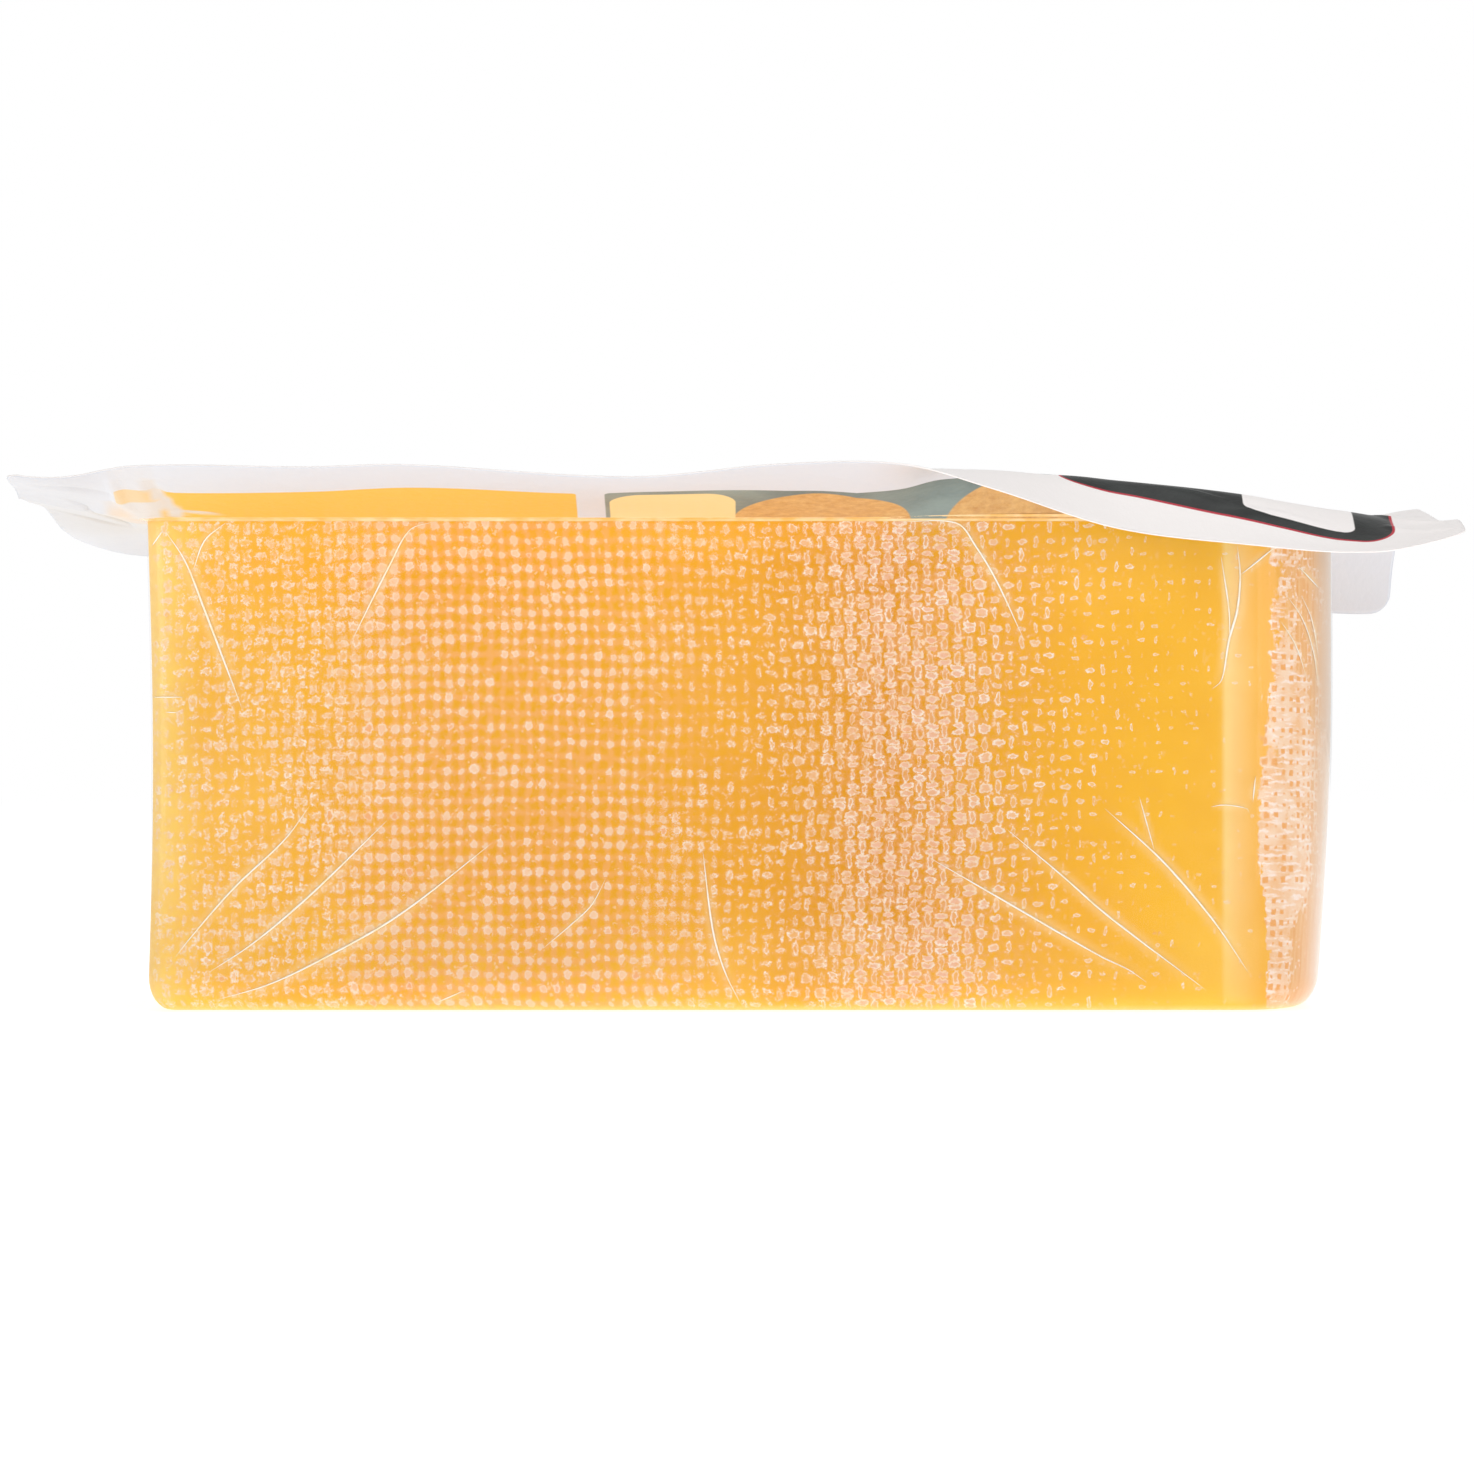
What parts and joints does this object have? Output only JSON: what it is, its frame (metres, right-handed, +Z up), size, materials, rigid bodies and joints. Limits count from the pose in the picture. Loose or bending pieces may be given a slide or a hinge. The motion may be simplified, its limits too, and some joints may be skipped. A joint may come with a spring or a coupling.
{
  "type": "vacuum-packed cheese block",
  "caption": "Upright block of cloth-marked semi-hard cheese in tight clear film, one end a rounded wheel rim, closed by a wavy printed lid film that stands out all round.",
  "frame": {"origin": "middle of the pack's bounding box, on the flat base that it stands on", "axes": "+X along the block towards its rounded rim end, +Y through the thickness of the wheel, away from the pictured face, +Z up from the base to the lid film"},
  "size_m": [0.193, 0.107, 0.0737],
  "materials": {
    "cheese_in_clear_film": "orange-yellow semi-hard cheese with pale cloth marks, seen through tight clear gloss film",
    "printed_lid_film": "white translucent film with printed fields of colour, soft gloss"
  },
  "bodies": {
    "root": {"cheese_block": "cheese_in_clear_film", "lid_film": "printed_lid_film"}
  },
  "joints": []
}
